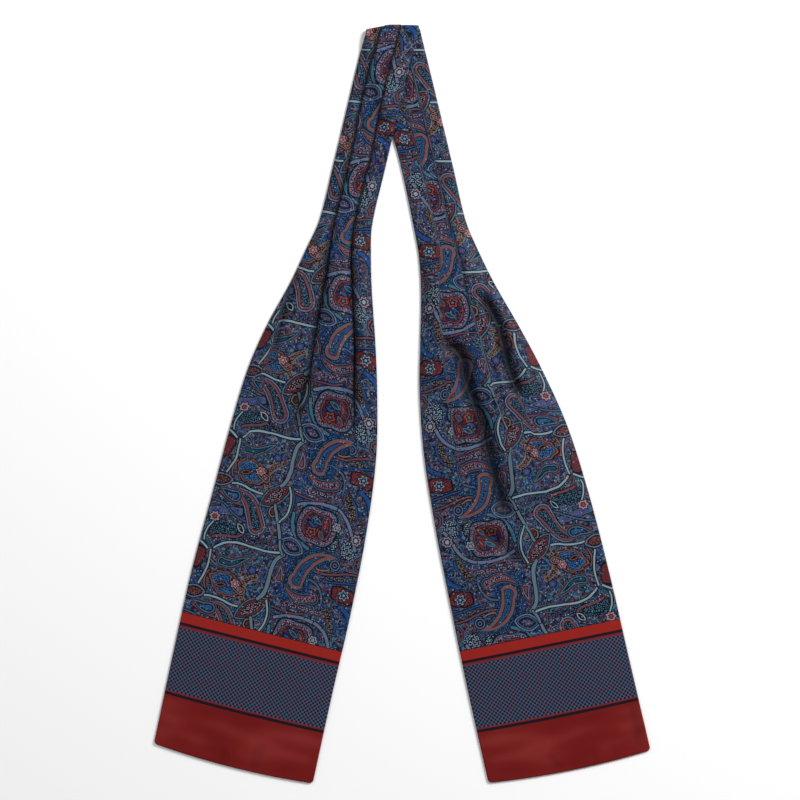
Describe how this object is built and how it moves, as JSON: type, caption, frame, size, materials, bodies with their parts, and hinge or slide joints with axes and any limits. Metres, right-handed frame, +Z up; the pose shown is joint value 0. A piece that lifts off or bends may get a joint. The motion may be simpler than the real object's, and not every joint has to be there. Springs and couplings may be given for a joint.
{
  "type": "silk cravat",
  "caption": "Self-tie silk cravat with a pleated neckband and two wide square-ended blades, folded at the neck and laid flat in a V.",
  "frame": {"origin": "middle of the cravat's bounding box, at the height of the table that it lies on", "axes": "+Z up from the table, +Y from the blade ends towards the fold at the neck, +X to the half that lies underneath"},
  "size_m": [0.4226, 0.6467, 0.0098],
  "materials": {
    "printed_silk": "printed silk twill, soft sheen"
  },
  "bodies": {
    "root": {"left_blade_face": "printed_silk", "left_blade_back": "printed_silk", "left_band_pleat_outer": "printed_silk", "left_band_pleat_middle": "printed_silk", "left_band_pleat_inner": "printed_silk", "left_band_back": "printed_silk", "neck_fold_inner": "printed_silk", "neck_fold_outer": "printed_silk", "right_band_back": "printed_silk", "right_band_face": "printed_silk", "right_blade_back": "printed_silk", "right_blade_face": "printed_silk"}
  },
  "joints": []
}
